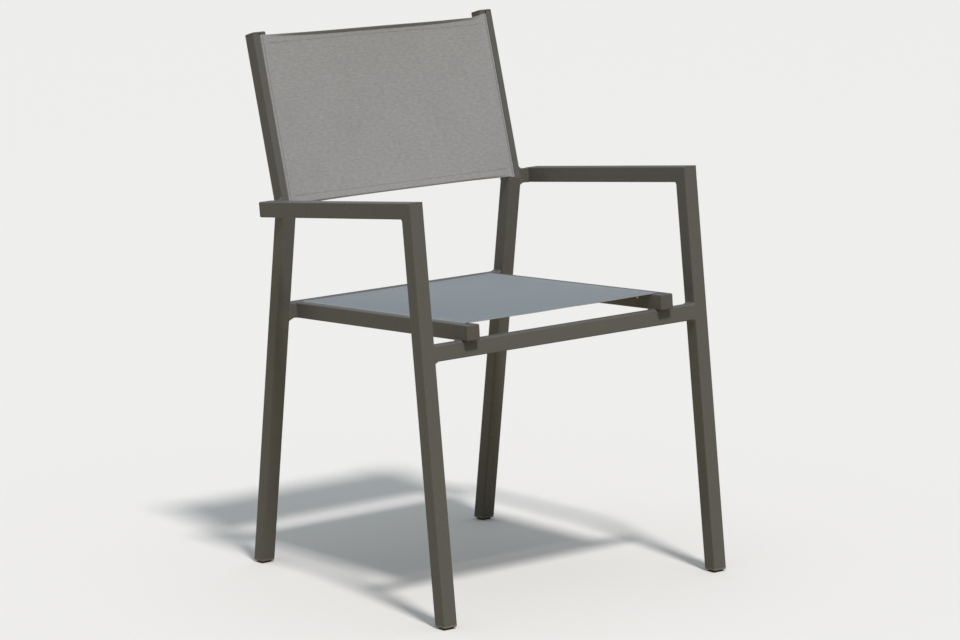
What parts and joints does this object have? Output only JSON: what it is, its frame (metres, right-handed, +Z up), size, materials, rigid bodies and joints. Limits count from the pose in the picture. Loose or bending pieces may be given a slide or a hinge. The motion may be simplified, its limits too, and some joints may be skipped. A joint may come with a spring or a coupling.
{
  "type": "sling patio armchair",
  "caption": "Stacking patio armchair: a welded square-tube frame with flat arms, and mesh slings stretched between channelled rails for the seat and the back.",
  "frame": {"origin": "on the floor, below the centre of the chair's bounding box", "axes": "+Z up, the chair faces -Y, +X to the right as seen from its front. Node names say left for -X and right for +X."},
  "size_m": [0.562, 0.5987, 0.8846],
  "materials": {
    "frame_powder_coat": "satin",
    "cap_plastic": "matte",
    "pad_rubber": "matte",
    "sling_mesh": "matte",
    "rod_plastic": "matte",
    "screw_steel": "satin"
  },
  "bodies": {
    "root": {"front_leg_left": "frame_powder_coat", "front_leg_right": "frame_powder_coat", "rear_leg_left": "frame_powder_coat", "rear_leg_right": "frame_powder_coat", "arm_left": "frame_powder_coat", "arm_right": "frame_powder_coat", "back_upright_left": "frame_powder_coat", "back_upright_right": "frame_powder_coat", "arm_spacer_left": "frame_powder_coat", "arm_spacer_right": "frame_powder_coat", "seat_rail_left": "frame_powder_coat", "seat_rail_right": "frame_powder_coat", "front_crossbar": "frame_powder_coat", "rear_crossbar": "frame_powder_coat", "upright_cap_left": "cap_plastic", "upright_cap_right": "cap_plastic", "seat_rail_cap_left": "cap_plastic", "seat_rail_cap_right": "cap_plastic", "arm_end_cap_left": "cap_plastic", "arm_end_cap_right": "cap_plastic", "front_foot_glide_left": "cap_plastic", "front_foot_glide_right": "cap_plastic", "rear_foot_glide_left": "cap_plastic", "rear_foot_glide_right": "cap_plastic", "front_foot_pad_left": "pad_rubber", "front_foot_pad_right": "pad_rubber", "rear_foot_pad_left": "pad_rubber", "rear_foot_pad_right": "pad_rubber", "back_sling": "sling_mesh", "seat_sling": "sling_mesh", "back_sling_rod_left": "rod_plastic", "back_sling_rod_right": "rod_plastic", "seat_sling_rod_left": "rod_plastic", "seat_sling_rod_right": "rod_plastic", "sling_lock_screw_left": "screw_steel", "sling_lock_screw_right": "screw_steel"}
  },
  "joints": []
}
